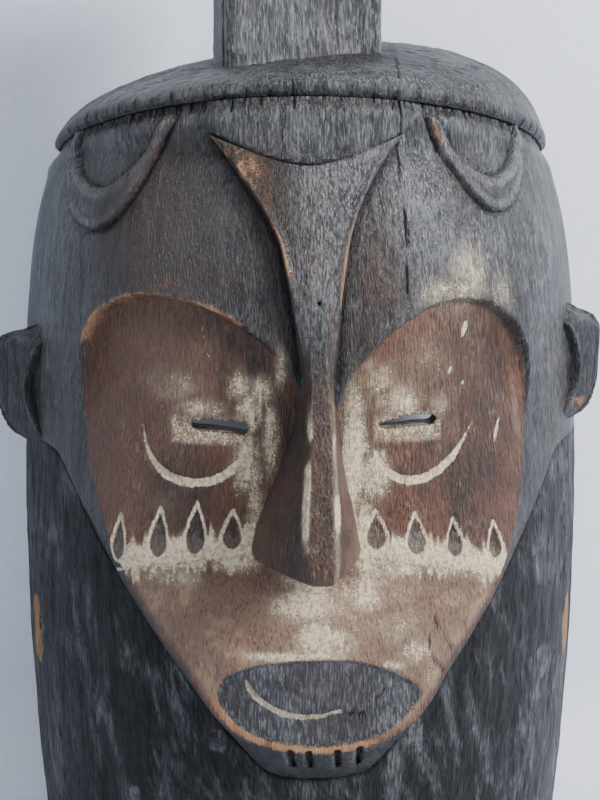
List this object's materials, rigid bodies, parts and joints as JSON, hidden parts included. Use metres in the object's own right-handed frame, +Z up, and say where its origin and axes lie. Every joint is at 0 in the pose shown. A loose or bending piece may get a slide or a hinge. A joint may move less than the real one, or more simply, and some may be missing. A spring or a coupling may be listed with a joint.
{
  "type": "carved wooden mask",
  "caption": "Tall carved wooden helmet-style mask with a stylised heart-shaped face, side ears, a domed crown and a square crest block, open at the back.",
  "frame": {"origin": "middle of the bounding box's base: on the plane of the foot rim, midway between the ears, midway between the nose tip and the open back", "axes": "+X to the viewer's right, -Y the way the face looks, +Y the open back, +Z up from the foot to the crest"},
  "size_m": [0.2234, 0.1552, 0.378],
  "materials": {
    "blackened_wood": "soot-blackened hardwood, adze-streaked and worn to a soft satin",
    "face_wood": "red-brown hardwood face with worn white clay",
    "peg_wood": "bare pale wood"
  },
  "bodies": {
    "root": {"trunk_shell": "blackened_wood", "head_shell": "face_wood", "crown_cap": "blackened_wood", "nose_and_shield": "face_wood", "ear_left": "blackened_wood", "ear_right": "blackened_wood", "crest_block": "blackened_wood", "crest_pin": "peg_wood", "ear_pin_left": "peg_wood", "ear_pin_right": "peg_wood", "neck_peg_1": "peg_wood", "neck_peg_2": "peg_wood", "neck_peg_3": "peg_wood", "crown_peg_1": "peg_wood", "crown_peg_2": "peg_wood", "crown_peg_3": "peg_wood", "nose_peg_1": "peg_wood", "nose_peg_2": "peg_wood"}
  },
  "joints": []
}
